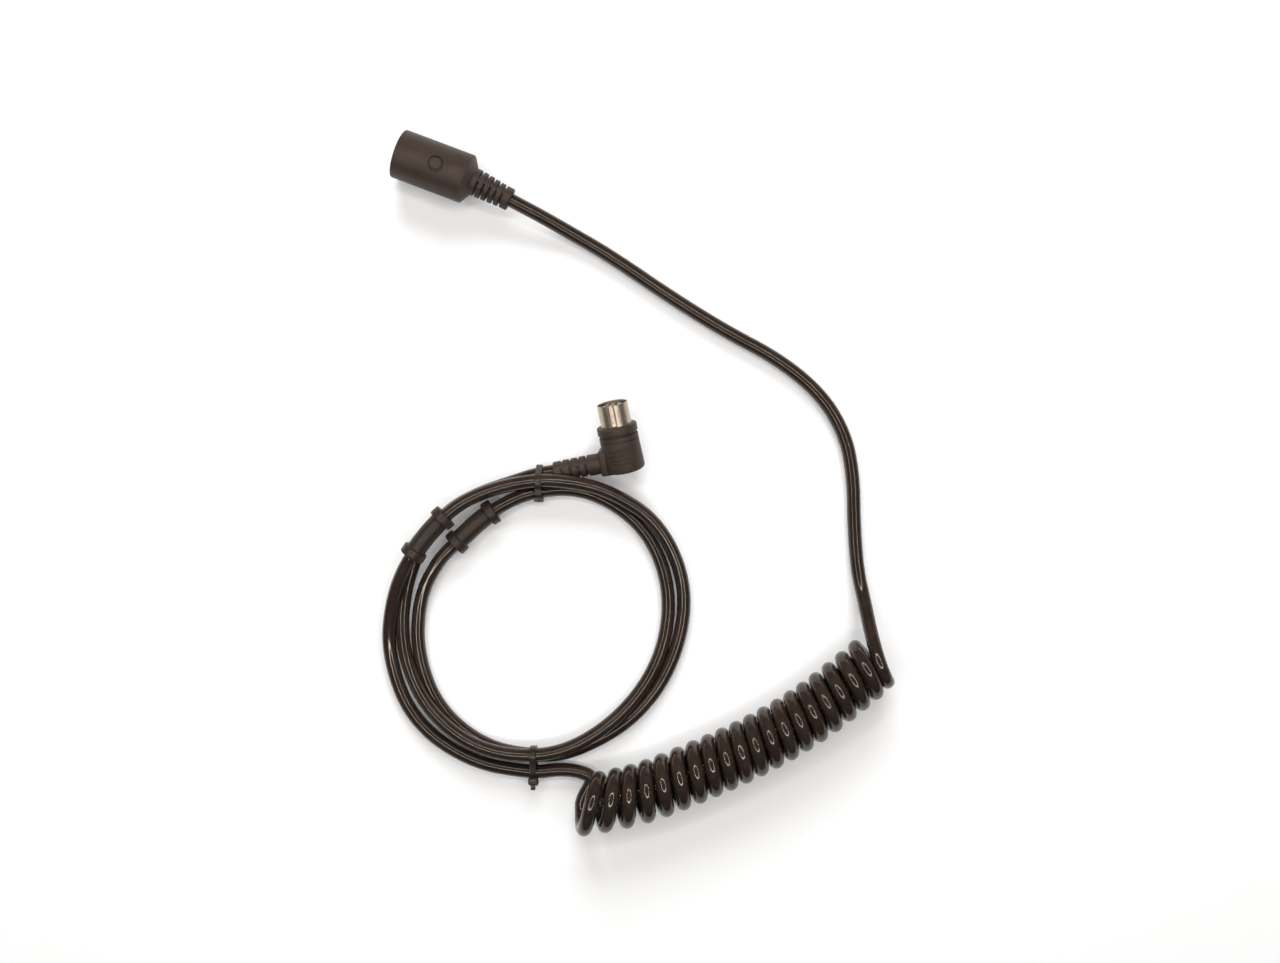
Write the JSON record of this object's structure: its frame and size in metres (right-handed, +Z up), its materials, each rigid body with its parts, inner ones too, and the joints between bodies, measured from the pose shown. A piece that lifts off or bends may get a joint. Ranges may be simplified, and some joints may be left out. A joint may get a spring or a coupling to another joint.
{
  "type": "coiled extension lead",
  "caption": "Coiled electrical extension lead with a right-angled round plug, a tied ring of cable with grommets and ties, a curly section and an in-line socket.",
  "frame": {"origin": "on the resting surface, below the middle of the in-line socket's bounding box", "axes": "+X along the in-line socket's axis from its mouth (which faces -X) to its strain relief, +Z up, the cable and the plug lie on the same surface"},
  "size_m": [0.2799, 0.2572, 0.0252],
  "materials": {
    "moulding": "satin moulded PVC, dark brown-black",
    "cable_jacket": "glossy PVC jacket, dark brown-black",
    "grommet_rubber": "satin",
    "tie_nylon": "satin nylon",
    "shell_nickel": "satin nickel plate",
    "contact_brass": "satin plated brass",
    "insulator": "matt",
    "inner_mould": "matt",
    "core_insulation": "satin",
    "clamp_steel": "plated"
  },
  "bodies": {
    "root": {"socket_overmould": "moulding", "socket_shield": "shell_nickel", "socket_contact_1": "contact_brass", "socket_contact_2": "contact_brass", "socket_contact_3": "contact_brass", "socket_contact_4": "contact_brass", "socket_contact_5": "contact_brass", "socket_contact_6": "contact_brass", "socket_contact_7": "contact_brass", "socket_contact_8": "contact_brass", "socket_core_1": "core_insulation", "socket_core_2": "core_insulation", "socket_core_3": "core_insulation", "socket_core_4": "core_insulation", "socket_core_5": "core_insulation", "socket_core_6": "core_insulation", "socket_core_7": "core_insulation", "socket_core_8": "core_insulation", "socket_insulator": "insulator", "socket_cable_clamp": "clamp_steel", "socket_inner_mould": "inner_mould", "socket_cable_tail": "cable_jacket", "plug_overmould": "moulding", "plug_shell": "shell_nickel", "plug_pin_1": "contact_brass", "plug_pin_2": "contact_brass", "plug_pin_3": "contact_brass", "plug_pin_4": "contact_brass", "plug_pin_5": "contact_brass", "plug_pin_6": "contact_brass", "plug_pin_7": "contact_brass", "plug_pin_8": "contact_brass", "plug_core_1": "core_insulation", "plug_core_2": "core_insulation", "plug_core_3": "core_insulation", "plug_core_4": "core_insulation", "plug_core_5": "core_insulation", "plug_core_6": "core_insulation", "plug_core_7": "core_insulation", "plug_core_8": "core_insulation", "plug_insulator": "insulator", "plug_cable_clamp": "clamp_steel", "plug_inner_mould": "inner_mould", "plug_cable_tail": "cable_jacket", "straight_lead": "cable_jacket", "link_lead": "cable_jacket", "plug_lead": "cable_jacket", "curl": "cable_jacket", "grommet_a": "grommet_rubber", "grommet_b": "grommet_rubber", "tie_top": "tie_nylon", "tie_bottom": "tie_nylon", "ring_coil": "cable_jacket"}
  },
  "joints": []
}
